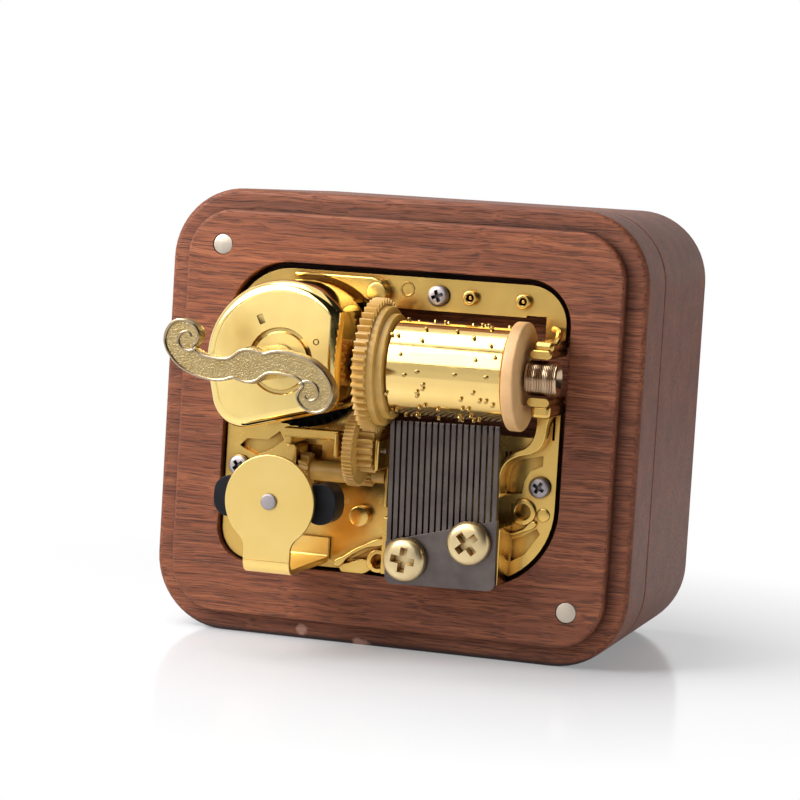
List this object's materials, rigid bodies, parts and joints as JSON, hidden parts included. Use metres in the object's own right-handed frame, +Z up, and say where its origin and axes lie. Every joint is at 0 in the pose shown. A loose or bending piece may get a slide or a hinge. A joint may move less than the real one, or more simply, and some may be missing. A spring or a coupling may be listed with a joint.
{
  "type": "music box",
  "caption": "Wooden music box standing on its edge, with an open gilt movement: drum, comb, geared fan governor and a scroll-shaped winding key.",
  "frame": {"origin": "centre of the wooden box's underside", "axes": "+X right seen from the movement's side, +Y from the movement into the box, +Z up"},
  "size_m": [0.072, 0.0726, 0.0656],
  "materials": {
    "walnut": "satin, oiled",
    "gold_plate": "polished gilt",
    "pale_gold": "pale gilt",
    "tan_plastic": "moulded",
    "beige_plastic": "moulded",
    "black_plastic": "moulded",
    "grey_steel": "ground, dark",
    "bright_steel": "satin"
  },
  "bodies": {
    "box": {"front_block": "walnut", "rear_box": "walnut", "cover_magnet_upper": "bright_steel", "cover_magnet_lower": "bright_steel", "base_casting": "gold_plate", "base_screw_top": "bright_steel", "base_screw_right": "bright_steel", "base_screw_left": "bright_steel", "comb": "grey_steel", "comb_screw_left": "pale_gold", "comb_screw_right": "pale_gold", "spring_housing": "gold_plate", "mainspring": "grey_steel", "threaded_bush": "pale_gold", "governor_bracket": "gold_plate", "governor_rivet": "bright_steel"},
    "winding": {"key": "pale_gold", "winding_arbor": "bright_steel"},
    "drum_line": {"drum": "gold_plate", "drum_gear": "tan_plastic", "drum_end_disc": "beige_plastic", "drum_shaft": "bright_steel"},
    "crown": {"crown_gear": "black_plastic", "clutch_sleeve": "bright_steel"},
    "second_wheel": {"second_gear": "tan_plastic", "second_arbor": "bright_steel"},
    "third_wheel": {"third_gear": "tan_plastic", "third_arbor": "bright_steel"},
    "governor": {"governor_worm": "bright_steel", "governor_fan": "black_plastic"}
  },
  "joints": [
    {"name": "key_wind", "type": "hinge", "parent": "box", "child": "winding", "pos_m": [-0.01275, -0.03759, 0.0419], "axis": [0, 1, 0], "range_deg": [0, 1260]},
    {"name": "drum_spin", "type": "hinge", "parent": "box", "child": "drum_line", "pos_m": [0, -0.03009, 0.0419], "axis": [1, 0, 0], "continuous": true},
    {"name": "crown_spin", "type": "hinge", "parent": "box", "child": "crown", "pos_m": [-0.01275, -0.02659, 0.0419], "axis": [0, -1, 0], "continuous": true},
    {"name": "second_spin", "type": "hinge", "parent": "box", "child": "second_wheel", "pos_m": [0, -0.03009, 0.02977], "axis": [1, 0, 0], "continuous": true},
    {"name": "third_spin", "type": "hinge", "parent": "box", "child": "third_wheel", "pos_m": [0, -0.02504, 0.02552], "axis": [1, 0, 0], "continuous": true},
    {"name": "governor_spin", "type": "hinge", "parent": "box", "child": "governor", "pos_m": [-0.01205, -0.03159, 0.02231], "axis": [0, -1, 0], "continuous": true}
  ],
  "couplings": [
    {"joint": "crown_spin", "follows": "drum_spin", "ratio": 0.30435},
    {"joint": "second_spin", "follows": "drum_spin", "ratio": -3.2},
    {"joint": "third_spin", "follows": "drum_spin", "ratio": 11.886},
    {"joint": "governor_spin", "follows": "drum_spin", "ratio": 142.63}
  ]
}
